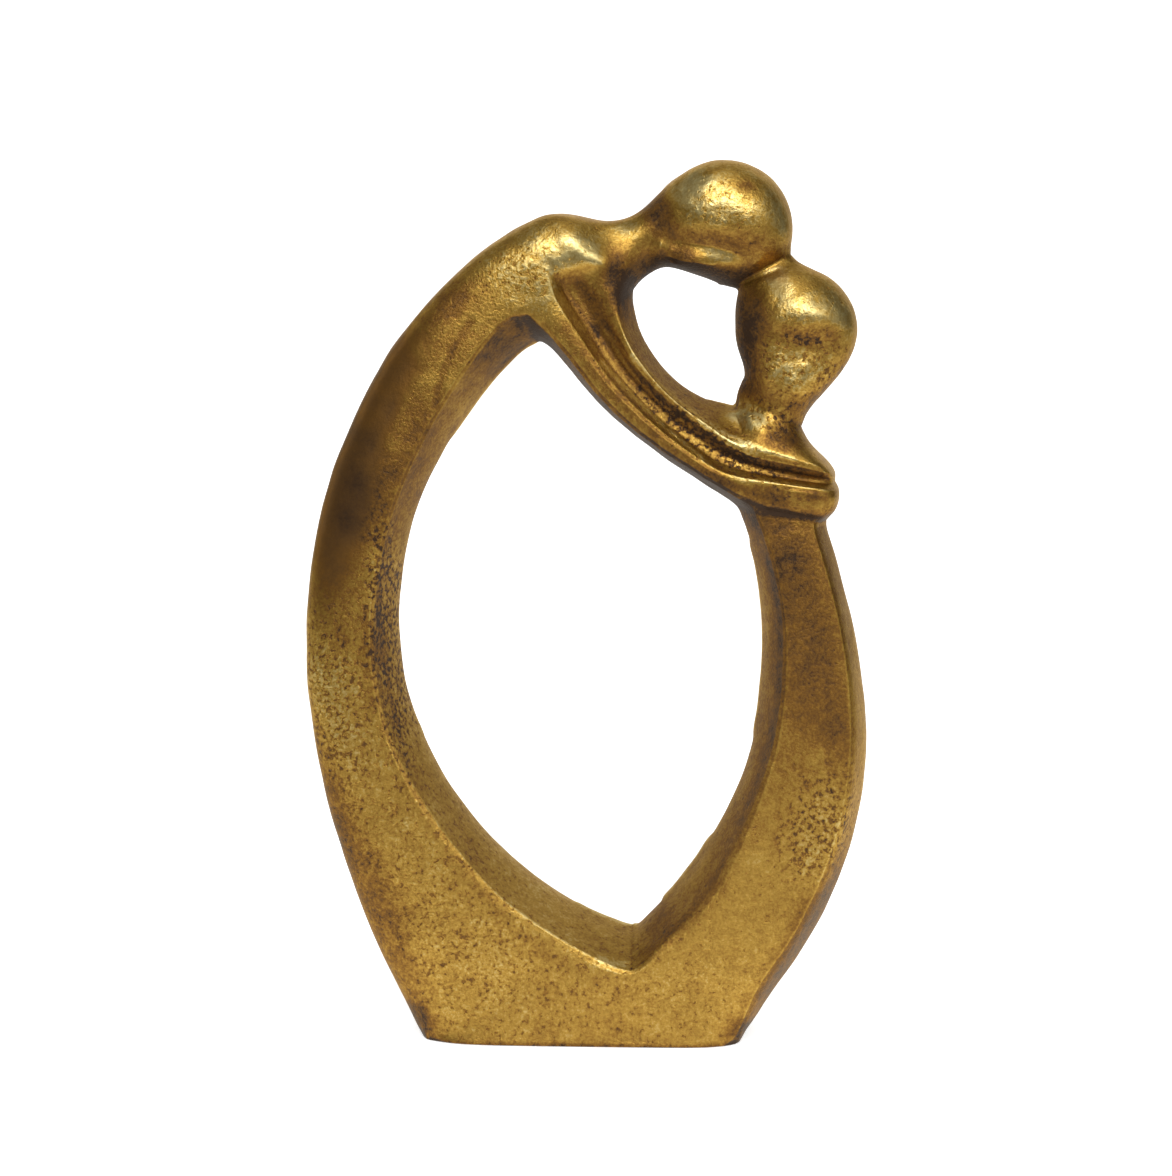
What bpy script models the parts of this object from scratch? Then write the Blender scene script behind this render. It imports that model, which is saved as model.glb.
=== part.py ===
"""Mother and child sculpture: one casting in antique gold, standing on a flat foot.

A mother bends over her child. Her back, the foot and the child's body make one ring, which her
head and the child's head close at the top, and her arms cross the ring as a pair of bands.
The ring is drawn as sections from its outer edge to its inner edge, all the way round, and the
arms as sections from their lower edge to their upper edge. The front half is mirrored for the back.
"""
from collections import namedtuple

import bmesh
import bpy
from mathutils import Vector

# Driving sizes in metres
FIGURE_HEIGHT = 0.300
FOOT_DEPTH = 0.054
GROOVE_DEPTH = 0.0045
FOOT_TRIM = 0.0015

# The pose is drawn in millimetres for a figure of this height and this depth at the foot. The
# drawing's middle is half way between its outer edges.
DRAWN_HEIGHT = 300.0
DRAWN_DEPTH = 54.0
DRAWN_MIDDLE = 0.54
SCALE = FIGURE_HEIGHT / DRAWN_HEIGHT
DEPTH_SCALE = FOOT_DEPTH / DRAWN_DEPTH
UNDERSIDE = -FOOT_TRIM / SCALE
GROOVE = GROOVE_DEPTH / DEPTH_SCALE

GOLD = (0.48, 0.31, 0.09, 1.0)
ROUGHNESS = 0.38

# Front points of a section: share of the way from the outer edge to the inner edge line, and
# share of the half depth. The wall's bend is given as shares of the inner wall's width and depth.
Section = namedtuple("Section", "front wall")
STRAIGHT_WALL = (0.28, 0.72)
ROUND_WALL = (0.64, 0.60)
SECTIONS = {
    "back": Section([(0.01, 0.40), (0.07, 0.69), (0.26, 0.88), (0.53, 0.97), (0.87, 1.0), (1, 0.97)],
                    STRAIGHT_WALL),
    "foot": Section([(0.0, 0.60), (0.0, 1.0), (0.15, 1.0), (0.50, 1.0), (0.88, 1.0), (1, 0.97)],
                    STRAIGHT_WALL),
    "corner": Section([(0.0, 0.40), (0.02, 0.70), (0.15, 0.92), (0.50, 1.0), (0.88, 1.0), (1, 0.97)],
                      STRAIGHT_WALL),
    "leg": Section([(0.07, 0.50), (0.15, 0.90), (0.26, 0.98), (0.55, 1.0), (0.88, 1.0), (1, 0.96)],
                   STRAIGHT_WALL),
    "shoulder": Section([(0.01, 0.38), (0.08, 0.68), (0.28, 0.92), (0.52, 1.0), (0.78, 1.0), (1, 0.98)],
                        STRAIGHT_WALL),
    "sleeve": Section([(0.01, 0.38), (0.08, 0.66), (0.30, 0.92), (0.63, 1.0), (0.76, 0.74), (1, 0.72)],
                      STRAIGHT_WALL),
    "collar": Section([(0.02, 0.30), (0.11, 0.52), (0.35, 0.66), (0.60, 0.88), (0.80, 0.98), (1, 0.98)],
                      (0.40, 0.66)),
    "band": Section([(0.01, 0.48), (0.05, 0.80), (0.20, 0.96), (0.45, 1.0), (0.75, 1.0), (1, 1.0)],
                    (0.40, 0.62)),
    "chest": Section([(0.02, 0.42), (0.12, 0.74), (0.32, 0.92), (0.55, 1.0), (0.80, 0.98), (1, 0.86)],
                     (0.45, 0.66)),
    "face": Section([(0.04, 0.42), (0.15, 0.74), (0.36, 0.95), (0.60, 1.0), (0.84, 0.97), (1, 0.84)],
                    (0.50, 0.64)),
    "brow": Section([(0.03, 0.42), (0.14, 0.72), (0.33, 0.88), (0.54, 0.89), (0.77, 1.0), (1, 0.80)],
                    ROUND_WALL),
    "neck": Section([(0.04, 0.42), (0.15, 0.76), (0.35, 0.97), (0.58, 1.0), (0.80, 0.92), (1, 0.74)],
                    ROUND_WALL),
    "jaw": Section([(0.05, 0.50), (0.21, 0.84), (0.49, 1.0), (0.73, 0.88), (0.88, 0.69), (1, 0.72)],
                   (0.55, 0.86)),
    "nape": Section([(0.05, 0.48), (0.20, 0.78), (0.45, 0.93), (0.68, 0.94), (0.86, 0.97), (1, 0.98)],
                    (0.60, 0.66)),
    "ball": Section([(0.03, 0.42), (0.14, 0.73), (0.33, 0.95), (0.54, 1.0), (0.77, 0.90), (1, 0.64)],
                    ROUND_WALL),
}

# Stations round the ring: outer edge, inner edge line on the front face, inner edge, half depth,
# section, and how many steps lead to the next station. Where an arm leaves, there is no inner edge.
Station = namedtuple("Station", "outer line inner depth section steps")
ROOT_OF_ARMS = [
    Station((6.5, 279.3), (10, 258), (17.6, 255.2), 17.5, "collar", 1),
    Station((-2, 281), (2.5, 256), None, 19.5, "sleeve", 1),
    Station((-10.5, 282), (-5, 253), None, 19.5, "sleeve", 1),
    Station((-17, 280), (-7.8, 251.4), None, 19.5, "shoulder", 1),
    Station((-25.5, 275.3), (-13.5, 248.5), None, 19.5, "shoulder", 1),
]
MOTHERS_BACK = [
    Station((-35.7, 268.6), (-18.5, 248.5), (-15.2, 237.3), 19.5, "back", 1),
    Station((-50, 255.5), (-28, 243.3), (-24.5, 230), 19.5, "back", 1),
    Station((-64.5, 238.5), (-39, 229), (-35.3, 218), 20, "back", 2),
    Station((-86.4, 194.5), (-60.2, 191.5), (-55.2, 184.5), 21, "back", 2),
    Station((-95.2, 147), (-70.5, 148), (-62.6, 146), 21, "back", 2),
    Station((-93, 102.5), (-66, 107.5), (-57.5, 110.8), 22, "back", 2),
    Station((-81.8, 57.5), (-48, 74.5), (-38.6, 76.2), 24, "back", 2),
    Station((-66.8, 20.5), (-27, 50.5), (-16.4, 55.4), 25.5, "back", 1),
    Station((-60.2, 8), (-16, 42.5), (-7.4, 49.4), 26, "back", 1),
]
FOOT = [
    Station((-54.2, UNDERSIDE), (-6, 36), (0.4, 44.5), 25.5, "corner", 1),
    Station((-42, UNDERSIDE), (3, 31), (6.3, 42), 26, "foot", 1),
    Station((-20, UNDERSIDE), (10, 28), (11.7, 40.3), 26.6, "foot", 1),
    Station((8, UNDERSIDE), (17.4, 25.8), (16.3, 38.8), 26.8, "foot", 1),
    Station((28, UNDERSIDE), (22.6, 30), (19.4, 41.2), 26.6, "foot", 1),
    Station((44, UNDERSIDE), (27.8, 35.2), (23.4, 45.2), 26, "foot", 1),
    Station((54, UNDERSIDE), (33.2, 39.8), (27.8, 49.7), 25.5, "corner", 1),
]
CHILDS_BODY = [
    Station((63.1, 12.3), (38.8, 46.6), (31.7, 54.7), 25.5, "leg", 1),
    Station((73.6, 26.2), (46.3, 56.4), (36.8, 61.7), 25, "leg", 2),
    Station((89, 56.7), (57, 79.5), (48.2, 80.2), 23, "leg", 2),
    Station((96.7, 91.8), (65.2, 104), (56.2, 102.5), 21, "leg", 2),
    Station((95, 126), (68.2, 133), (59.5, 130.5), 19, "leg", 2),
    Station((89, 154), (66, 157), (58.3, 155), 18, "leg", 2),
    Station((83.3, 173.5), (60.2, 176.5), (53.6, 175), 17, "leg", 1),
    Station((82.8, 177.8), (58, 181), (51.8, 179.5), 16.5, "leg", 1),
]
CHILDS_SHOULDER = [
    Station((85, 180.3), (57.5, 183.8), (50, 182.8), 19.2, "band", 1),
    Station((86.7, 184.8), (57, 188.6), None, 19.7, "band", 1),
    Station((86.5, 188.8), (56.5, 193.2), None, 20.3, "band", 1),
    Station((85, 190.7), (56, 195.4), None, 20 - GROOVE, "band", 1),
    Station((85.4, 193.2), (56, 199.4), None, 17.2, "band", 1),
    Station((83.9, 196.4), (56, 203), (49.8, 218.2), 19, "band", 1),
]
CHILDS_HEAD = [
    Station((79.5, 201.3), (58.5, 211), (50.8, 219.3), 16, "chest", 1),
    Station((73.4, 209.5), (58, 217.5), (51.8, 222), 12.3, "neck", 1),
    Station((79.2, 218.5), (60, 224.3), (53.5, 226.5), 15.2, "face", 1),
    Station((87.3, 227), (60, 230.8), (52.4, 231.5), 16.6, "face", 1),
    Station((92, 237), (58, 237.6), (50.5, 238.2), 16.2, "brow", 1),
    Station((92.6, 246), (56.5, 245.3), (50.3, 245), 19.8, "ball", 1),
    Station((89.2, 254), (56.5, 251.5), (50.4, 250), 18.3, "ball", 1),
    Station((83, 260.5), (56, 255.5), (51.1, 253.6), 14.5, "ball", 1),
    Station((75, 264), (55, 258), (51.4, 255.2), 11.8, "ball", 1),
]
MOTHERS_HEAD = [
    Station((69.8, 268), (53, 258.8), (50.5, 256.2), 7.2, "ball", 1),
    Station((70.7, 274), (53, 261.5), (46.4, 256.8), 13.6, "ball", 1),
    Station((70, 282.3), (50.4, 265.6), (41.8, 258.3), 17, "jaw", 1),
    Station((65.8, 291.4), (43.9, 267), (37.3, 259.9), 19.5, "jaw", 1),
    Station((57.6, 297.9), (37.9, 267.4), (33.8, 261.3), 19.8, "jaw", 1),
    Station((46.8, 300.4), (33.4, 267.8), (31, 262.2), 18.5, "jaw", 1),
    Station((37, 298.1), (30, 269.4), (28.2, 262.7), 16, "jaw", 1),
    Station((27.8, 291.8), (26, 270), (25.5, 262.4), 13, "nape", 1),
    Station((21.3, 284.6), (22, 266.5), (22.6, 261), 11.5, "neck", 1),
    Station((14, 280.3), (17.5, 263), (19.8, 258.9), 11.5, "neck", 1),
]
RING = (ROOT_OF_ARMS + MOTHERS_BACK + FOOT + CHILDS_BODY + CHILDS_SHOULDER + CHILDS_HEAD
        + MOTHERS_HEAD)
FRONT_ROWS = 7
ARM_ROWS = 6

# Stations along the arms: lower edge, upper edge, and the groove's and the top ridge's shares of
# the way between them
ArmStation = namedtuple("ArmStation", "lower upper groove ridge")
ARMS = [
    ArmStation((-8.6, 231.7), (17.7, 250), 0.46, 0.80),
    ArmStation((0, 221.4), (19.6, 241.3), 0.46, 0.80),
    ArmStation((8.5, 212.7), (25.1, 232.2), 0.48, 0.81),
    ArmStation((18, 204.7), (31.1, 225.5), 0.47, 0.80),
    ArmStation((27.8, 197.7), (38.4, 220.8), 0.43, 0.76),
    ArmStation((38, 190.9), (44.4, 218.6), 0.40, 0.71),
    ArmStation((45.5, 186), (48.2, 218.1), 0.39, 0.65),
]
# Half depths across the arms: the lower band's edge and middle, the slope behind the groove and
# the ridge on top. The shares are of the way from the lower edge to the upper edge.
ARM_DEPTH = 18.5
LOWER_EDGE_DEPTH = 17.8
RIDGE_DEPTH = 17.9
SLOPE_DEPTH = 14.1
LOWER_EDGE = 0.13
CREST_WIDTH = 0.09
SLOPE_FOOT = 0.62
ARM_WALL = 0.5

# Share of a vertex's distance from its neighbours' middle by which it is pushed out, so that the
# smoothed surface passes through the drawn edges
PUSH_OUT = 0.62


def placed(point, depth=0.0):
    """A drawn point, and its depth in front of the middle, as a place in metres."""
    return Vector(((point[0] - DRAWN_MIDDLE) * SCALE, -depth * DEPTH_SCALE, point[1] * SCALE))


def between(a, b, share):
    return a + (b - a) * share


def drawn_between(a, b, share):
    return tuple(between(p, q, share) for p, q in zip(a, b))


def section_points(station):
    """The points of one station, from the outer edge over the front to the inner edge."""
    section = SECTIONS[station.section]
    points = [placed(station.outer)]
    for along, depth in section.front:
        points.append(placed(drawn_between(station.outer, station.line, along), depth * station.depth))
    if station.inner:
        along, depth = section.wall
        line_depth = section.front[-1][1] * station.depth
        points.append(placed(drawn_between(station.line, station.inner, along), depth * line_depth))
        points.append(placed(station.inner))
    return points


def curve_point(before, start, end, after, share):
    """A point on the smooth curve through four points, between the middle two."""
    slope_in = (end - before) / 2
    slope_out = (after - start) / 2
    return (start * (2 * share**3 - 3 * share**2 + 1) + slope_in * (share**3 - 2 * share**2 + share)
            + end * (3 * share**2 - 2 * share**3) + slope_out * (share**3 - share**2))


def ring_sections():
    """The sections at all the stations and at the steps between them."""
    drawn = [section_points(station) for station in RING]
    sections = []
    for place, station in enumerate(RING):
        start = drawn[place]
        end = drawn[(place + 1) % len(RING)]
        before = drawn[place - 1]
        after = drawn[(place + 2) % len(RING)]
        sections.append(start)
        for step in range(1, station.steps):
            section = []
            for row, (a, b) in enumerate(zip(start, end)):
                first = before[row] if row < len(before) else a
                last = after[row] if row < len(after) else b
                section.append(curve_point(first, a, b, last, step / station.steps))
            sections.append(section)
    return sections


def arm_section(station):
    """One station across both arms, from the lower edge over the front to the upper edge."""
    lower, upper, groove, ridge = station
    crest = groove - CREST_WIDTH
    middle = (LOWER_EDGE + crest) / 2
    slope = between(groove, ridge, SLOPE_FOOT)
    shares = [LOWER_EDGE, middle, crest, groove, slope, ridge]
    depths = [LOWER_EDGE_DEPTH, ARM_DEPTH, ARM_DEPTH, ARM_DEPTH - GROOVE, SLOPE_DEPTH, RIDGE_DEPTH]
    front = [placed(drawn_between(lower, upper, share), depth) for share, depth in zip(shares, depths)]
    lower_edge = placed(lower)
    upper_edge = placed(upper)
    lower_wall = between(lower_edge, front[0], ARM_WALL)
    upper_wall = between(upper_edge, front[-1], ARM_WALL)
    return [lower_edge, lower_wall] + front + [upper_wall, upper_edge]


def arm_end(corner_below, block, corner_above):
    """The ring's own vertices that an end of the arms grows out of."""
    middle = [section[FRONT_ROWS - 1] for section in [corner_below] + block + [corner_above]]
    return list(reversed(corner_below[FRONT_ROWS:])) + middle + corner_above[FRONT_ROWS:]


def skin(bm, first, second):
    """Faces between two neighbouring rows of vertices, as far as both of them reach."""
    count = min(len(first), len(second))
    for a, b, c, d in zip(first, first[1:count], second[1:count], second):
        bm.faces.new((a, b, c, d))


def front_half(bm):
    ring = [[bm.verts.new(point) for point in section] for section in ring_sections()]
    for first, second in zip(ring, ring[1:] + ring[:1]):
        skin(bm, first, second)
    open_places = [place for place, section in enumerate(ring) if len(section) == FRONT_ROWS]
    root = open_places[:ARM_ROWS - 2]
    hand = open_places[ARM_ROWS - 2:]
    columns = [arm_end(ring[root[-1] + 1], [ring[place] for place in reversed(root)], ring[root[0] - 1])]
    for station in ARMS:
        columns.append([bm.verts.new(point) for point in arm_section(station)])
    columns.append(arm_end(ring[hand[0] - 1], [ring[place] for place in hand], ring[hand[-1] + 1]))
    for first, second in zip(columns, columns[1:]):
        skin(bm, first, second)


def push_out(bm):
    """Moves each vertex away from its neighbours' middle, against the pull of the smoothing."""
    moves = {}
    for vert in bm.verts:
        neighbours = [edge.other_vert(vert).co for edge in vert.link_edges]
        middle = sum(neighbours, Vector()) / len(neighbours)
        moves[vert] = (vert.co - middle) * PUSH_OUT
    for vert, move in moves.items():
        vert.co += move


def gold_material():
    material = bpy.data.materials.new("antique_gold")
    material.use_nodes = True
    shader = material.node_tree.nodes["Principled BSDF"]
    shader.inputs["Base Color"].default_value = GOLD
    shader.inputs["Metallic"].default_value = 1.0
    shader.inputs["Roughness"].default_value = ROUGHNESS
    return material


def floor_cutter():
    """A block below the floor, which cuts the foot flat."""
    size = 2 * FIGURE_HEIGHT
    bpy.ops.mesh.primitive_cube_add(size=size, location=(0, 0, -size / 2))
    cutter = bpy.context.object
    cutter.name = "floor_cutter"
    cutter.hide_render = True
    cutter.display_type = "WIRE"
    return cutter


def casting():
    bm = bmesh.new()
    front_half(bm)
    everything = bm.verts[:] + bm.edges[:] + bm.faces[:]
    bmesh.ops.mirror(bm, geom=everything, axis="Y", merge_dist=1e-6)
    bmesh.ops.recalc_face_normals(bm, faces=bm.faces)
    push_out(bm)
    mesh = bpy.data.meshes.new("mother_and_child")
    bm.to_mesh(mesh)
    bm.free()
    mesh.materials.append(gold_material())
    figure = bpy.data.objects.new("mother_and_child", mesh)
    bpy.context.collection.objects.link(figure)
    smooth = figure.modifiers.new("smooth", "SUBSURF")
    smooth.levels = 1
    smooth.render_levels = 1
    flat = figure.modifiers.new("flat_foot", "BOOLEAN")
    flat.operation = "DIFFERENCE"
    flat.object = floor_cutter()
    mesh.shade_smooth()
    return figure


for leftover in list(bpy.data.objects):
    bpy.data.objects.remove(leftover, do_unlink=True)
casting()
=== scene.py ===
"""The cast figure's finish: a smoothed casting in antique gold, with its grain, pits and patina, and with
highlights, a dark reflection and shade painted into its colour.
"""
import math

import bpy
import numpy as np
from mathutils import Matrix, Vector


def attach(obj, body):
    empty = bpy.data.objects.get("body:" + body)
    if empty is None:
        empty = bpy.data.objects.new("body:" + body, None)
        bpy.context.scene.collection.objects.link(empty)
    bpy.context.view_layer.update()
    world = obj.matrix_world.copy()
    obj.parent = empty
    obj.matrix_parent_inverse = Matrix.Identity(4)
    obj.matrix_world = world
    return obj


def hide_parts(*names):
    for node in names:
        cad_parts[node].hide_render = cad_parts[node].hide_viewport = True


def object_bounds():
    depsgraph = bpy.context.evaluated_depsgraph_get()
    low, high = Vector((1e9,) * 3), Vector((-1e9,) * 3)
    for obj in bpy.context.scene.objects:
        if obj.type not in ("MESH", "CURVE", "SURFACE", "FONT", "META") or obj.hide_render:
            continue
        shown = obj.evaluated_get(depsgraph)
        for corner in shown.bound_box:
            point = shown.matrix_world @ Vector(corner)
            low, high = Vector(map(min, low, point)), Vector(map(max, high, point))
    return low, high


MM = 0.001

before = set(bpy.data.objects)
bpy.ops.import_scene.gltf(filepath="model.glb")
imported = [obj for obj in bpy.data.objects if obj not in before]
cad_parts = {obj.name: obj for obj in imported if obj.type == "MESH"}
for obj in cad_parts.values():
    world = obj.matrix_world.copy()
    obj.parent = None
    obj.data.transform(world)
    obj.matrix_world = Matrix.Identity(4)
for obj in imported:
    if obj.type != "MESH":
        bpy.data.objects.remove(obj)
cad_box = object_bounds()


# The casting

QUAD_ANGLE = math.radians(60)
KEEP_QUADS_EVEN = 1.5
CRISP_ANGLE = math.radians(24)
CRISP_EDGE = 0.55
SMOOTH_LEVELS = 2
SHARPEN_ROUNDS = 6
SHARPEN = 0.8
FOOT_EDGE = 1.0

# Lines worked into both faces of the casting, to the child's side and up in millimetres, each with
# its half width and its depth, which is less than 0 for a ridge
GROOVE = [(4.6, 241.3), (16.7, 225.2), (30.2, 212.8), (43.7, 203.4), (57.1, 197.4), (72.9, 193.4),
          (83, 192.1)]
SECOND_GROOVE = [(6.6, 244.6), (19, 230.2), (32.5, 218.2), (46, 208.4), (59.5, 202.1), (71.2, 198.1)]
UPPER_RIDGE = [(16.7, 233.7), (30.2, 220.5), (43.7, 209.6), (57.2, 203.8), (70.5, 199.6)]
LOWER_RIDGE = [(6, 232), (22.5, 215.3), (39.3, 200.6), (50.5, 193.5), (67.3, 192), (82.1, 189.5)]
UNDER_BAND = [(54, 184.8), (67, 181), (80, 179)]
BROW = [(61, 243.5), (66.7, 240.4), (73.4, 238.4), (80.1, 239.1), (85.4, 241.8)]
SLEEVE_FOLD = [(-6, 274), (0, 270.5), (5, 266)]
RECESS = [(-4, 257.5), (3, 250), (10, 240)]
SLEEVE = [(-9.2, 260.5), (-2.8, 251.3), (4.6, 241.3)]
CHEST_LUMP = [(50, 213.5), (60, 211)]
BACK_CREASE = [(-38.2, 245.5), (-43.3, 237.7), (-48.5, 224.2), (-49.5, 217.5)]
LINES = [
    (GROOVE, 1.1, 0.35),
    (SECOND_GROOVE, 0.8, 0.25),
    (UPPER_RIDGE, 1.4, -0.4),
    (LOWER_RIDGE, 1.2, -0.3),
    (UNDER_BAND, 1.2, 0.5),
    (BROW, 2.4, 0.3),
    (SLEEVE, 1.0, 0.4),
    (BACK_CREASE, 1.6, 0.3),
    (SLEEVE_FOLD, 3.0, -0.7),
    (CHEST_LUMP, 3.0, -1.0),
    (RECESS, 3.5, 0.4),
]
LINE_STEPS = 8

# The faces are where the normal's share towards the front or the back is more than the first number,
# and they count in full when it is more by the second number
FACE_FROM = 0.25
FACE_OVER = 0.3

# Every patch in this file: middle to the child's side and up in millimetres, half width, half height,
# turn in degrees, strength

# Where a hard edge of the solid is soft on the casting
SOFTENED = [
    (0, 264, 13, 7, -8, 1.0),
    (9, 259, 6, 16, 18, 1.0),
    (-4, 270, 12, 5, -30, 0.7),
    (60, 203, 14, 3, -20, 0.5),
    (45, 58, 5, 40, -38, 0.6),
]
SOFTEN_ROUNDS = 40

# Name, size and depth in millimetres; the noise value above the level stands out, below it lies deeper
UNEVENNESS = [("waves", 16, 0.6), ("dents", 6, 0.7)]
UNEVENNESS_LEVEL = 0.75
# Where the dents are
LUMPY = [
    (44, 283, 22, 18, 0, 1.0),
    (73, 238, 18, 26, 0, 1.0),
    (-3, 264, 26, 14, -20, 0.8),
    (62, 208, 16, 10, -20, 0.7),
    (-45, 240, 22, 34, -40, 0.35),
    (45, 196, 40, 12, -35, 0.7),
]


def only(piece):
    """Selects one object and makes it the active one."""
    bpy.ops.object.select_all(action="DESELECT")
    piece.select_set(True)
    bpy.context.view_layer.objects.active = piece


def copied_casting():
    """The solid's own surface as one smooth mesh of quads, with its sharpest edges kept crisp."""
    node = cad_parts["mother_and_child"]
    casting = node.copy()
    casting.data = node.data.copy()
    casting.name = "cast_figure"
    casting.data.name = "cast_figure"
    casting.parent = None
    for key in list(casting.keys()):
        del casting[key]
    bpy.context.scene.collection.objects.link(casting)
    only(casting)
    bpy.ops.mesh.customdata_custom_splitnormals_clear()
    bpy.ops.object.mode_set(mode="EDIT")
    bpy.ops.mesh.select_all(action="SELECT")
    bpy.ops.mesh.remove_doubles(threshold=0.001 * MM)
    bpy.ops.mesh.mark_sharp(clear=True)
    bpy.ops.mesh.tris_convert_to_quads(face_threshold=QUAD_ANGLE, shape_threshold=QUAD_ANGLE,
                                       topology_influence=KEEP_QUADS_EVEN)
    bpy.ops.mesh.select_mode(type="EDGE")
    bpy.ops.mesh.select_all(action="DESELECT")
    bpy.ops.mesh.edges_select_sharp(sharpness=CRISP_ANGLE)
    bpy.ops.transform.edge_crease(value=CRISP_EDGE)
    bpy.ops.object.mode_set(mode="OBJECT")
    return casting


def smoothed(casting):
    smooth = casting.modifiers.new("smooth", "SUBSURF")
    smooth.levels = SMOOTH_LEVELS
    smooth.render_levels = SMOOTH_LEVELS
    only(casting)
    bpy.ops.object.modifier_apply(modifier="smooth")
    bpy.ops.object.shade_smooth()


def places_of(mesh):
    """The vertices' places in millimetres."""
    places = np.empty(len(mesh.vertices) * 3)
    mesh.vertices.foreach_get("co", places)
    return places.reshape(-1, 3) / MM


def normals_of(mesh):
    normals = np.empty(len(mesh.vertices) * 3)
    mesh.vertices.foreach_get("normal", normals)
    return normals.reshape(-1, 3)


def on_the_faces(normals):
    """How much each place belongs to the front or the back face, from 0 to 1."""
    return np.clip((np.abs(normals[:, 1]) - FACE_FROM) / FACE_OVER, 0, 1)


def mean_of_neighbours(mesh, values, rounds):
    """The values after each vertex has moved half way to its neighbours' mean that many times."""
    edges = np.empty(len(mesh.edges) * 2, dtype=np.int64)
    mesh.edges.foreach_get("vertices", edges)
    first, second = edges.reshape(-1, 2).T
    count = len(values)
    neighbours = np.bincount(edges, minlength=count)
    for _ in range(rounds):
        means = [np.bincount(first, column[second], count) + np.bincount(second, column[first], count)
                 for column in values.T]
        values = 0.5 * values + 0.5 * np.stack(means, axis=1) / neighbours[:, None]
    return values


def relief_of(mesh, rounds):
    """How many millimetres each vertex lies below the surface around it: less than 0 where it stands out."""
    places = places_of(mesh)
    return ((mean_of_neighbours(mesh, places, rounds) - places) * normals_of(mesh)).sum(axis=1)


def smooth_line(points):
    """Places along the smooth curve through the points."""
    points = np.array(points, dtype=float)
    ends = np.vstack([2 * points[0] - points[1], points, 2 * points[-1] - points[-2]])
    share = np.linspace(0, 1, LINE_STEPS, endpoint=False)[:, None]
    line = []
    for before, start, end, after in zip(ends, ends[1:], ends[2:], ends[3:]):
        line.append(start + share / 2 * (end - before + share * (
            2 * before - 5 * start + 4 * end - after + share * (3 * (start - end) + after - before))))
    return np.vstack(line + [points[-1:]])


def nearness(places, line, half_width):
    """How near each place is to the line, seen from the front: 1 on it, almost 0 at twice its half width."""
    nearest = np.full(len(places), np.inf)
    seen = places[:, [0, 2]]
    for start, end in zip(line, line[1:]):
        run = end - start
        share = np.clip((seen - start) @ run / (run @ run), 0, 1)
        nearest = np.minimum(nearest, np.linalg.norm(seen - start - share[:, None] * run, axis=1))
    return np.exp(-(nearest / half_width) ** 2)


def patches(places, painted):
    """How much each of the places lies in the painted patches, from 0 to 1."""
    amount = np.zeros(len(places))
    for x, z, wide, tall, turn, strength in painted:
        c = math.cos(math.radians(turn))
        s = math.sin(math.radians(turn))
        across = (places[:, 0] - x) * c + (places[:, 2] - z) * s
        along = (places[:, 2] - z) * c - (places[:, 0] - x) * s
        distance = (across / wide) ** 2 + (along / tall) ** 2
        amount += strength * np.exp(-distance ** 1.5)
    return np.clip(amount, 0, 1)


def worked(casting):
    """Presses the lines into the faces, or raises them where they are ridges."""
    mesh = casting.data
    places = places_of(mesh)
    normals = normals_of(mesh)
    on_a_face = on_the_faces(normals)
    for points, half_width, depth in LINES:
        press = depth * nearness(places, smooth_line(points), half_width) * on_a_face
        places -= normals * press[:, None]
    mesh.vertices.foreach_set("co", (places * MM).ravel())
    mesh.update()


def sharpened(casting):
    """Ridges stand out more and creases go deeper, within the solid's own box."""
    mesh = casting.data
    relief = relief_of(mesh, SHARPEN_ROUNDS)
    places = places_of(mesh)
    above_foot = np.clip((places[:, 2] - FOOT_EDGE) / FOOT_EDGE, 0, 1)
    places -= normals_of(mesh) * (relief * SHARPEN * above_foot)[:, None]
    low, high = (np.array(corner) / MM for corner in cad_box)
    mesh.vertices.foreach_set("co", (np.clip(places, low, high) * MM).ravel())
    mesh.update()


def softened(casting):
    """Rounds off the edges in the soft patches."""
    mesh = casting.data
    places = places_of(mesh)
    share = patches(places, SOFTENED) * on_the_faces(normals_of(mesh))
    places += (mean_of_neighbours(mesh, places, SOFTEN_ROUNDS) - places) * share[:, None]
    mesh.vertices.foreach_set("co", (places * MM).ravel())
    mesh.update()


def uneven(casting):
    """The slight unevenness of a surface that was cast in sand and rubbed down by hand."""
    places = places_of(casting.data)
    weights = {
        "waves": np.clip(places[:, 2] / FOOT_EDGE - 1, 0, 1),
        "dents": patches(places, LUMPY),
    }
    for name, size, depth in UNEVENNESS:
        group = casting.vertex_groups.new(name=name)
        for i, weight in enumerate(weights[name]):
            group.add([i], weight, "REPLACE")
        texture = bpy.data.textures.new(name, "CLOUDS")
        texture.noise_scale = size * MM
        texture.noise_depth = 1
        dents = casting.modifiers.new(name, "DISPLACE")
        dents.texture = texture
        dents.texture_coords = "LOCAL"
        dents.vertex_group = name
        dents.strength = depth * MM
        dents.mid_level = UNEVENNESS_LEVEL
        bpy.ops.object.modifier_apply(modifier=name)
    casting.vertex_groups.clear()


casting = copied_casting()
smoothed(casting)
sharpened(casting)
softened(casting)
worked(casting)
uneven(casting)


# Marks on the surface, kept with the mesh for the finish to read

WIDE_ROUNDS = 40
WIDE_DEPTH = 1.2
FINE_ROUNDS = 5
FINE_DEPTH = 0.10
EDGE_HEIGHT = 0.12

# Where the mother's back was rubbed smooth, with a dark reflection painted on it
SMOOTH = [
    (-80, 190, 11, 46, -14, 1.0),
    (-67, 225, 10, 28, -36, 0.9),
]
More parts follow.
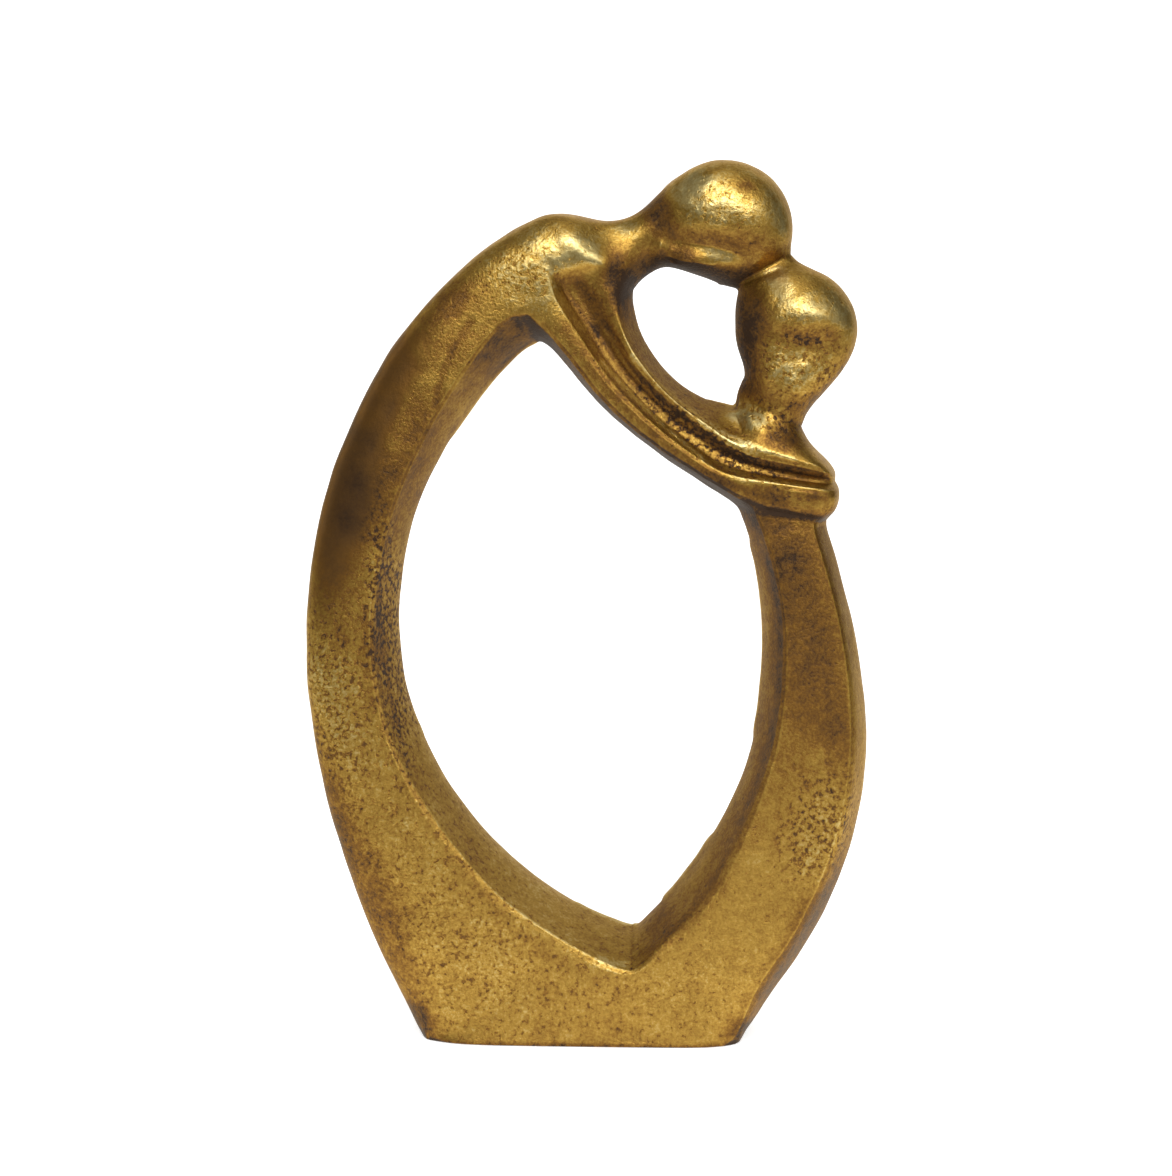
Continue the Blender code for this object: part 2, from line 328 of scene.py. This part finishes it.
# Where brown patina lies, and where shade is painted on in brown: under the mother's jaw, below the chest,
# under the lower band and beside the collar
BROWN_PATINA_AND_SHADE = [
    (25, 281, 6, 8, 10, 1.0),
    (38, 275, 9, 2.5, -5, 0.15),
    (34, 267.5, 6, 4, -5, 0.9),
    (61, 273, 5, 5, 0, 0.2),
    (54, 291, 5, 2.5, -30, 0.8),
    (43, 296, 4, 1.0, 10, 0.4),
    (56, 247, 6, 11, -4, 0.85),
    (55, 232, 5, 9, 0, 0.5),
    (54, 221, 4, 5, 0, 0.5),
    (70, 241, 11, 3, 0, 0.3),
    (84, 241, 4, 6, 20, 0.25),
    (76, 146, 14, 34, 6, 0.65),
    (64, 172, 8, 22, 6, 0.45),
    (-59, 195, 10, 29, -22, 0.7),
    (11, 260, 5, 12, 10, 1.0),
    (66, 206, 8, 5, -20, 0.8),
    (88, 102, 6, 26, 6, 0.5),
    (72, 108, 12, 30, -10, 0.35),
    (79, 188, 6, 2.5, 0, 0.7),
    (60, 178, 9, 4, -8, 0.25),
    (-80, 178, 9, 28, -8, 0.3),
    (-43, 236, 9, 6, 35, 0.4),
    (-44, 252, 10, 6, 35, 0.7),
    (73, 168, 9, 8, 0, 0.2),
    (3, 253, 4, 9, 30, 0.55),
    (6, 241, 4, 7, 40, 0.4),
    (45, 193, 7, 3, -25, 0.4),
    (-72.5, 133, 3.5, 16, 4, 0.5),
    (-82, 140, 5, 6, 0, 0.4),
    (-88, 88, 6, 26, 12, 0.45),
    (-73, 52, 9, 36, 23, 0.7),
    (-56, 5, 6, 9, 20, 1.0),
    (54, 4, 6, 6, -20, 0.8),
    (77, 42, 6, 36, -31, 0.7),
]
# Brown on the walls of the two openings only
WALL_BROWN = [
    (24, 42, 6, 6, 0, 0.5),
    (-26, 232, 16, 10, -40, 0.5),
]
# Where hands have worn the metal bright, and where highlights are painted on
WEAR_AND_HIGHLIGHT_PATCHES = [
    (-8, 268, 14, 7, -15, 0.7),
    (2, 269, 7, 6, -20, 0.8),
    (13, 276, 8, 4.5, 20, 0.7),
    (43, 285, 13, 9, 10, 0.7),
    (36, 292, 7, 5, 30, 0.8),
    (68, 281, 5, 10, 10, 0.8),
    (86, 250, 5, 11, 20, 0.7),
    (-2, 265, 8, 4, 0, 0.6),
    (47, 268.5, 13, 4, -8, 0.9),
    (52, 216.5, 8, 5, -30, 1.0),
    (56, 213.5, 7, 4, -20, 0.9),
    (64, 262, 5, 4, 0, 0.7),
    (67, 255, 4, 9, 30, 0.8),
    (77, 250, 4, 4, 0, 0.7),
    (72, 230, 9, 8, 0, 0.6),
    (-18, 257, 14, 9, -30, 0.5),
]
# Light painted on the walls of the two openings only
WALL_PAINTED_LIGHT = [
    (-62, 190, 12, 34, -28, 0.8),
    (-56, 88, 8, 34, 22, 0.5),
    (-20, 45, 24, 8, -30, 0.5),
    (61, 160, 7, 24, 0, 0.5),
    (34, 52, 8, 8, -40, 0.2),
    (0, 38, 22, 7, -30, 0.4),
    (-34, 66, 8, 22, 40, 0.4),
]
# Where the casting is rough with pits
PITTED = [
    (-84, 120, 13, 34, 8, 0.9),
    (-70, 152, 5, 26, 0, 1.0),
    (80, 76, 13, 22, -20, 1.0),
    (72, 233, 16, 14, 0, 0.8),
    (62, 213, 12, 5, -20, 0.9),
    (0, 20, 70, 26, 0, 0.35),
    (-50, 60, 30, 50, 30, 0.45),
    (-22, 262, 14, 9, 0, 0.7),
    (45, 205, 34, 6, -33, 1.0),
    (46, 283, 11, 9, 0, 0.5),
    (-64, 135, 6, 44, 4, 1.0),
]

# More lines, for the finish alone: half width and strength follow them in the lists below
VEE_RIDGE = [(6, 29.5), (17.3, 27.2)]
BOTTOM_CONTACT_SHADOW = [(-62, 0.4), (62, 0.4)]
LEFT_FACE_EDGE = [(-68, 109), (-55, 81.5), (-38, 57.5), (-17, 35), (4, 22.5)]
COLLAR = [(8, 263), (9.5, 256), (13, 248)]
RIGHT_FACE_EDGE = [(59.3, 89.9), (54.2, 69.6), (45.8, 54.4), (35.6, 42.6), (23.8, 32.4)]
LEFT_WALL_LINE = [(-67, 172), (-69.5, 151.5), (-69, 137.9), (-66.5, 120), (-62.5, 103.7)]
RIGHT_WALL_LINE = [(61.5, 166), (65, 152.8), (66, 139.2), (65.8, 125.7), (64.8, 112.2), (60.3, 94),
                   (53.7, 77.3), (45.3, 58.4), (32, 41.3), (21, 31.4)]
BETWEEN_BANDS = [(4, 246), (16.7, 230), (30.2, 216.5), (43.7, 206.5), (57.2, 200), (72, 195.5),
                 (83, 194)]
BAND_MIDDLE = [(-6, 244), (2, 233), (20, 212), (35, 199), (50, 190.5), (66, 187)]
# Wall lines: dark lines where the walls meet the faces, and a contact shadow painted along the bottom edge.
# Dark lines: patina in the grooves and creases, darker down the lower band's middle, and painted shade under
# the lower band, beside the faces' edges and at the collar. Rubbed lines: edge wear with painted highlights
# along the ridges.
WALL_LINES = [(LEFT_WALL_LINE, 0.8, 0.35), (RIGHT_WALL_LINE, 1.0, 0.2), (BOTTOM_CONTACT_SHADOW, 0.8, 0.8)]
DARK_LINES = [(GROOVE, 1.0, 0.22), (SECOND_GROOVE, 0.8, 0.2), (BETWEEN_BANDS, 3.0, 0.08),
              (UNDER_BAND, 1.3, 0.35), (SLEEVE, 0.9, 0.4), (BACK_CREASE, 1.2, 0.1),
              (BAND_MIDDLE, 3.0, 0.45), (LEFT_FACE_EDGE, 2.5, 0.25), (RIGHT_FACE_EDGE, 3.0, 0.35),
              (COLLAR, 3.5, 0.35)]
RUBBED_AND_HIGHLIGHT_LINES = [(UPPER_RIDGE, 1.3, 1.0), (LOWER_RIDGE, 1.0, 0.5), (VEE_RIDGE, 1.1, 1.0)]

# The middles of the two openings, to the child's side and up, and how far their walls reach
ARCH_MIDDLE = (-3, 143)
ARCH_REACH = 120
LOOP_MIDDLE = (37, 243)
LOOP_REACH = 34

# A wall faces its middle when the cosine of the angle to it is more than the first number, and counts
# in full when it is more by the second number; it fades out over the last part of its reach
WALL_FROM = 0.30
WALL_OVER = 0.35
WALL_FADE = 0.15

# The heights in millimetres between which the legs pass into the two bodies, and how much their
# undersides are shaded below and above
LEG_TOPS = (130, 180)
LEG_SHADES = (0.6, 1)

# Undersides are shaded where the normal points down by more than the first number, and the shade
# grows with the second
UNDERSIDE_FROM = 0.15
UNDERSIDE_GROWS = 1.4

# How much of the casting's own creases and edges shows beside the drawn lines
OWN_CREASES = 0.2
OWN_EDGES = 0.3


def mark(name, values):
    attribute = casting.data.attributes.new(name, "FLOAT", "POINT")
    attribute.data.foreach_set("value", values.astype(np.float32))


def drawn(places, lines):
    """The strongest of the lines at each place, from 0 to 1."""
    return np.max([strength * nearness(places, smooth_line(points), half_width)
                   for points, half_width, strength in lines], axis=0)


def facing(places, normals, middle, reach):
    """How squarely each place faces the middle of an opening that is no further away than its reach."""
    across = middle[0] - places[:, 0]
    up = middle[1] - places[:, 2]
    distance = np.hypot(across, up) + 0.001
    squarely = (normals[:, 0] * across + normals[:, 2] * up) / distance
    near = np.clip((reach - distance) / (WALL_FADE * reach), 0, 1)
    return near * np.clip((squarely - WALL_FROM) / WALL_OVER, 0, 1)


def mark_surface():
    places = places_of(casting.data)
    normals = normals_of(casting.data)
    wide = relief_of(casting.data, WIDE_ROUNDS)
    fine = relief_of(casting.data, FINE_ROUNDS)
    arch_wall = facing(places, normals, ARCH_MIDDLE, ARCH_REACH)
    loop_wall = facing(places, normals, LOOP_MIDDLE, LOOP_REACH)
    walls = np.clip(arch_wall + loop_wall, 0, 1)
    on_a_face = on_the_faces(normals)
    to_the_child = np.clip(2 * normals[:, 0], 0, 1)
    mark("hollow", np.clip(wide / WIDE_DEPTH, 0, 1) * (1 - walls))
    # Dark lines: patina in the creases and grooves, with painted shade under the lower band, beside the
    # faces' edges and at the collar, and a contact shadow painted along the bottom edge
    creases = np.clip(fine / FINE_DEPTH, 0, 1) * OWN_CREASES + drawn(places, DARK_LINES) * on_a_face
    mark("crease_patina_and_shade", np.clip(creases + drawn(places, WALL_LINES), 0, 1))
    edges = -fine / EDGE_HEIGHT * OWN_EDGES
    # Brighter on raised edges and rubbed lines: edge wear with painted highlights along the ridges
    mark("raised_wear_and_highlight", np.clip(edges + drawn(places, RUBBED_AND_HIGHLIGHT_LINES) * on_a_face, 0, 1))
    # The smooth band: less cast grain, and a painted dark reflection
    mark("smooth_dark_reflection_band", patches(places, SMOOTH))
    # Brown patina, with shade painted on in some of the patches
    mark("patina_and_shade", np.clip(patches(places, BROWN_PATINA_AND_SHADE) + patches(places, WALL_BROWN) * walls, 0, 1))
    # Worn spots with painted highlights, and light painted on the walls of the openings
    mark("wear_and_highlight", np.clip(patches(places, WEAR_AND_HIGHLIGHT_PATCHES) * on_a_face + patches(places, WALL_PAINTED_LIGHT) * walls, 0, 1))
    mark("pitted", patches(places, PITTED))
    mark("lumpy", patches(places, LUMPY))
    mark("inner_wall", walls)
    below = np.clip(-UNDERSIDE_GROWS * normals[:, 2] - UNDERSIDE_FROM, 0, 1)
    below *= 1 - arch_wall * to_the_child
    mark("facing_down", below * np.interp(places[:, 2], LEG_TOPS, LEG_SHADES))


mark_surface()


# The finish

# Colours from the darkest tone to the brightest
PIT = (0.035, 0.017, 0.008, 1)
BROWN_PATINA = (0.21, 0.10, 0.022, 1)
GOLD = (0.45, 0.272, 0.054, 1)
WORN_GOLD = (0.78, 0.65, 0.29, 1)
TONES = [(0.02, PIT), (0.25, BROWN_PATINA), (0.55, GOLD), (0.95, WORN_GOLD)]
EDGE_TINT = (0.87, 0.77, 0.62, 1)

# The plain metal's tone, and what each mark on the surface adds to it: edges and worn spots add wear with
# painted highlights, creases and brown patches add patina with painted shade, the smooth band a painted dark
# reflection, undersides painted shade
PLAIN_TONE = 0.46
TONE_OF_MARKS = {
    "raised_wear_and_highlight": 0.40,
    "crease_patina_and_shade": -0.40,
    "hollow": -0.08,
    "patina_and_shade": -0.38,
    "wear_and_highlight": 0.26,
    "smooth_dark_reflection_band": -0.31,
    "inner_wall": -0.14,
    "facing_down": -0.36,
}
# What each pattern adds to the tone
CLOUDS_TONE = 0.025
MOTTLE_TONE = 0.06
SPECKLE_TONE = 0.17
COARSE_TONE = 0.32
PIT_TONE = -0.18

# Scale, detail and roughness of each noise pattern
CLOUDS = (60, 3, 0.5)
MOTTLE = (320, 3, 0.6)
GRAIN = (1100, 3, 0.65)
POCKS = (600, 2.5, 0.6)
LUMPS = (150, 2, 0.5)
# How many millimetres the pocks waver, and at what scale
WAVER = 0.8
WAVER_SCALE = 500

# Noise values from which a pit opens and is fully open, and how much sooner it does in pitted patches
PIT_OPENS = (0.63, 0.73)
PITTED_HELPS = 0.13
BROWN_FILLS = 0.7
# The cast roughness that is left on the smooth band
BAND_ROUGHNESS = 0.15

# How far each pattern stands out in the bump, on plain metal and on metal worn bright or given a painted
# highlight
GRAIN_HEIGHTS = (1.4, 0.6)
MOTTLE_HEIGHTS = (1.0, 0.6)
LUMPS_HEIGHT = 3.2
PIT_HEIGHT = -0.7
BUMP_HEIGHT = 0.22
BUMP_STRENGTH = 0.8

# From the darkest to the brightest tones: how metallic and how rough
METAL = (0.55, 1.0)
ROUGHNESS = (0.50, 0.38)
# How much less metallic and how much rougher the walls of the openings are
WALL_METAL = 0.30
WALL_ROUGHNESS = 0.15


class Finish:
    """Adds nodes to a material and links them as they are made."""

    def __init__(self, name):
        self.material = bpy.data.materials.new(name)
        self.material.use_nodes = True
        self.tree = self.material.node_tree
        self.shader = self.tree.nodes["Principled BSDF"]
        self.coordinates = self.add("ShaderNodeTexCoord").outputs["Object"]

    def add(self, kind, inputs=None, **settings):
        made = self.tree.nodes.new(kind)
        for name, value in settings.items():
            setattr(made, name, value)
        for name, value in (inputs or {}).items():
            if isinstance(value, bpy.types.NodeSocket):
                self.tree.links.new(value, made.inputs[name])
            else:
                made.inputs[name].default_value = value
        return made

    def mark(self, name):
        return self.add("ShaderNodeAttribute", attribute_name=name).outputs["Fac"]

    def noise(self, scale, detail, roughness, place=None):
        inputs = {"Vector": place or self.coordinates, "Scale": scale, "Detail": detail,
                  "Roughness": roughness}
        return self.add("ShaderNodeTexNoise", inputs).outputs["Fac"]

    def math(self, operation, a, b=0.0, clamp=False):
        return self.add("ShaderNodeMath", {0: a, 1: b}, operation=operation, use_clamp=clamp).outputs[0]

    def times(self, a, b):
        return self.math("MULTIPLY", a, b)

    def sum_of(self, *terms):
        total = terms[0]
        for term in terms[1:]:
            total = self.math("ADD", total, term)
        return total

    def spread(self, value, low, high, to_low=0.0, to_high=1.0):
        inputs = {"Value": value, "From Min": low, "From Max": high, "To Min": to_low, "To Max": to_high}
        return self.add("ShaderNodeMapRange", inputs, interpolation_type="SMOOTHSTEP").outputs["Result"]

    def wavering(self, amount, scale):
        """The surface's own places, pushed about by up to that much."""
        inputs = {"Vector": self.coordinates, "Scale": scale}
        push = self.add("ShaderNodeTexNoise", inputs).outputs["Color"]
        inputs = {0: push, 1: (amount, amount, amount), 2: self.coordinates}
        return self.add("ShaderNodeVectorMath", inputs, operation="MULTIPLY_ADD").outputs["Vector"]

    def ramp(self, value, colours):
        """The colour at that value, from colours with their positions."""
        made = self.add("ShaderNodeValToRGB", {"Fac": value})
        stops = made.color_ramp.elements
        for stop, (position, colour) in zip((stops[0], stops[1]), (colours[0], colours[-1])):
            stop.position = position
            stop.color = colour
        for position, colour in colours[1:-1]:
            stops.new(position).color = colour
        return made.outputs["Color"]

    def bump(self, height, distance, strength):
        inputs = {"Height": height, "Distance": distance, "Strength": strength}
        return self.add("ShaderNodeBump", inputs).outputs["Normal"]

    def set(self, name, value):
        if isinstance(value, bpy.types.NodeSocket):
            self.tree.links.new(value, self.shader.inputs[name])
        else:
            self.shader.inputs[name].default_value = value


def antique_gold():
    """Gold rubbed bright with painted highlights on what stands out, dark patina and painted shade in the
    hollows and under things, a painted dark reflection on the smooth band, with a cast grain and dark pits.
    """
    finish = Finish("antique_gold")
    marks = {name: finish.mark(name) for name in [*TONE_OF_MARKS, "pitted", "lumpy"]}
    wear_and_highlight = marks["wear_and_highlight"]
    wall = marks["inner_wall"]
    clouds = finish.noise(*CLOUDS)
    mottle = finish.noise(*MOTTLE)
    grain = finish.noise(*GRAIN)
    pocks = finish.noise(*POCKS, finish.wavering(WAVER * MM, WAVER_SCALE))
    lumps = finish.noise(*LUMPS)
    rough = finish.spread(marks["smooth_dark_reflection_band"], 0.2, 0.8, 1.0, BAND_ROUGHNESS)
    pit = finish.spread(finish.sum_of(pocks, finish.times(marks["pitted"], PITTED_HELPS)), *PIT_OPENS)
    open_metal = finish.math("SUBTRACT", rough, finish.times(marks["patina_and_shade"], BROWN_FILLS))
    pit = finish.math("MULTIPLY", pit, open_metal, True)
    speckle = finish.times(finish.spread(grain, 0.3, 0.7, -0.5, 0.5), rough)
    coarse = finish.times(finish.spread(pocks, 0.35, 0.65, 0.5, -0.5), marks["pitted"])
    tone = finish.sum_of(
        PLAIN_TONE,
        *(finish.times(marks[name], share) for name, share in TONE_OF_MARKS.items()),
        finish.spread(clouds, 0.3, 0.7, -CLOUDS_TONE, CLOUDS_TONE),
        finish.times(finish.spread(mottle, 0.3, 0.7, -MOTTLE_TONE, MOTTLE_TONE), rough),
        finish.times(speckle, SPECKLE_TONE),
        finish.times(coarse, COARSE_TONE),
        finish.times(pit, PIT_TONE),
    )
    finish.set("Base Color", finish.ramp(tone, TONES))
    metal = finish.spread(tone, 0.0, 0.35, *METAL)
    finish.set("Metallic", finish.math("SUBTRACT", metal, finish.times(wall, WALL_METAL)))
    finish.set("Specular Tint", EDGE_TINT)
    roughness = finish.spread(tone, 0.1, 0.8, *ROUGHNESS)
    finish.set("Roughness", finish.sum_of(roughness, finish.times(wall, WALL_ROUGHNESS)))
    height = finish.sum_of(
        finish.times(grain, finish.times(rough, finish.spread(wear_and_highlight, 0.0, 1.0, *GRAIN_HEIGHTS))),
        finish.times(mottle, finish.spread(wear_and_highlight, 0.0, 1.0, *MOTTLE_HEIGHTS)),
        finish.times(lumps, finish.times(marks["lumpy"], LUMPS_HEIGHT)),
        finish.times(pit, PIT_HEIGHT),
    )
    finish.set("Normal", finish.bump(height, BUMP_HEIGHT * MM, BUMP_STRENGTH))
    return finish.material


casting.data.materials.clear()
casting.data.materials.append(antique_gold())
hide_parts("mother_and_child")
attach(casting, "root")


# The studio

CAMERA_SIDE = math.radians(3.6)
CAMERA_ABOVE = math.radians(6.0)
CAMERA_DISTANCE = 1.5
CAMERA_LENS = 134.17
CAMERA_TARGET = Vector((-0.27, 0, 153.86)) * MM

# The paper is lit from behind as well, so that it shows pale with no strong light on the figure.
# It rises so far back that the figure can be seen from behind, and glows more where no lamp reaches.
PAPER_NEAR_WIDTH = 1.1
PAPER_FAR_WIDTH = 3.0
PAPER_FRONT = -0.3
PAPER_BACK = 2.2
PAPER_HEIGHT = 2.75
PAPER_CURVE = 1.1
PAPER_NEAR_GLOW = 0.75
PAPER_FAR_GLOW = 0.97
# How far back the glow starts to rise and is full, in metres
PAPER_GLOW_RISES = (0.2, 1.4)
AIR_GLOW = 0.12

# Name, place in metres, width, height and power
LAMPS = [
    ("key", (0.05, -0.95, 0.95), 0.75, 0.6, 12),
    ("side_fill", (1.0, -0.85, 0.70), 0.6, 0.8, 3.5),
    ("left_rim", (-0.95, 0.35, 0.55), 0.4, 0.8, 1.5),
    ("top", (0.1, -0.1, 1.4), 0.7, 0.7, 2),
]


def towards(side, above):
    """The direction from the figure to something at that angle to the right and above."""
    return Vector((math.sin(side) * math.cos(above), -math.cos(side) * math.cos(above), math.sin(above)))


def camera():
    data = bpy.data.cameras.new("photo_view")
    data.lens = CAMERA_LENS
    data.sensor_width = 36
    view = bpy.data.objects.new("photo_view", data)
    bpy.context.scene.collection.objects.link(view)
    back = towards(CAMERA_SIDE, CAMERA_ABOVE)
    view.location = CAMERA_TARGET + back * CAMERA_DISTANCE
    view.rotation_euler = back.to_track_quat("Z", "Y").to_euler()
    bpy.context.scene.camera = view


def softbox(name, place, width, height, power):
    """A soft rectangular light at a place in metres, turned towards the figure."""
    data = bpy.data.lights.new(name, "AREA")
    data.shape = "RECTANGLE"
    data.size = width
    data.size_y = height
    data.energy = power
    lamp = bpy.data.objects.new(name, data)
    bpy.context.scene.collection.objects.link(lamp)
    lamp.location = place
    lamp.rotation_euler = (Vector(place) - CAMERA_TARGET).to_track_quat("Z", "Y").to_euler()


def pale_paper(middle):
    """Paper that glows more towards the back, on a sweep with its middle at that place."""
    paper = bpy.data.materials.new("pale_paper")
    paper.use_nodes = True
    nodes = paper.node_tree.nodes
    links = paper.node_tree.links
    shader = nodes["Principled BSDF"]
    shader.inputs["Base Color"].default_value = (0.90, 0.90, 0.89, 1)
    shader.inputs["Roughness"].default_value = 0.9
    shader.inputs["Emission Color"].default_value = (1, 1, 0.99, 1)
    place = nodes.new("ShaderNodeTexCoord")
    parts = nodes.new("ShaderNodeSeparateXYZ")
    glow = nodes.new("ShaderNodeMapRange")
    glow.inputs["From Min"].default_value = PAPER_GLOW_RISES[0] - middle
    glow.inputs["From Max"].default_value = PAPER_GLOW_RISES[1] - middle
    glow.inputs["To Min"].default_value = PAPER_NEAR_GLOW
    glow.inputs["To Max"].default_value = PAPER_FAR_GLOW
    links.new(place.outputs["Object"], parts.inputs[0])
    links.new(parts.outputs["Y"], glow.inputs["Value"])
    links.new(glow.outputs["Result"], shader.inputs["Emission Strength"])
    return paper


def paper_sweep():
    """A strip of pale paper that lies under the figure and rises behind it in one curve."""
    bpy.ops.object.select_all(action="DESELECT")
    middle = (PAPER_FRONT + PAPER_BACK) / 2
    bpy.ops.mesh.primitive_plane_add(size=1, location=(0, middle, -0.3 * MM))
    sweep = bpy.context.object
    sweep.name = "pale_floor"
    sweep.scale = (PAPER_NEAR_WIDTH, PAPER_BACK - PAPER_FRONT, 1)
    bpy.ops.object.transform_apply(location=False, rotation=False, scale=True)
    for corner in sweep.data.vertices:
        if corner.co.y > 0:
            corner.co.x *= PAPER_FAR_WIDTH / PAPER_NEAR_WIDTH
    bpy.ops.object.mode_set(mode="EDIT")
    bpy.ops.mesh.select_all(action="DESELECT")
    bpy.ops.object.mode_set(mode="OBJECT")
    for edge in sweep.data.edges:
        edge.select = all(sweep.data.vertices[i].co.y > 0 for i in edge.vertices)
    bpy.ops.object.mode_set(mode="EDIT")
    bpy.ops.mesh.select_mode(type="EDGE")
    bpy.ops.mesh.extrude_region_move(TRANSFORM_OT_translate={"value": (0, 0, PAPER_HEIGHT)})
    bpy.ops.object.mode_set(mode="OBJECT")
    curve = sweep.modifiers.new("curve", "BEVEL")
    curve.width = PAPER_CURVE
    curve.segments = 24
    curve.limit_method = "ANGLE"
    bpy.ops.object.modifier_apply(modifier="curve")
    bpy.ops.object.shade_smooth()
    sweep.data.materials.append(pale_paper(middle))


def studio_air():
    world = bpy.data.worlds.new("studio")
    world.use_nodes = True
    world.node_tree.nodes["Background"].inputs["Color"].default_value = (1, 1, 1, 1)
    world.node_tree.nodes["Background"].inputs["Strength"].default_value = AIR_GLOW
    bpy.context.scene.world = world


camera()
for lamp in LAMPS:
    softbox(*lamp)
paper_sweep()
studio_air()
bpy.context.scene.view_settings.view_transform = "Standard"
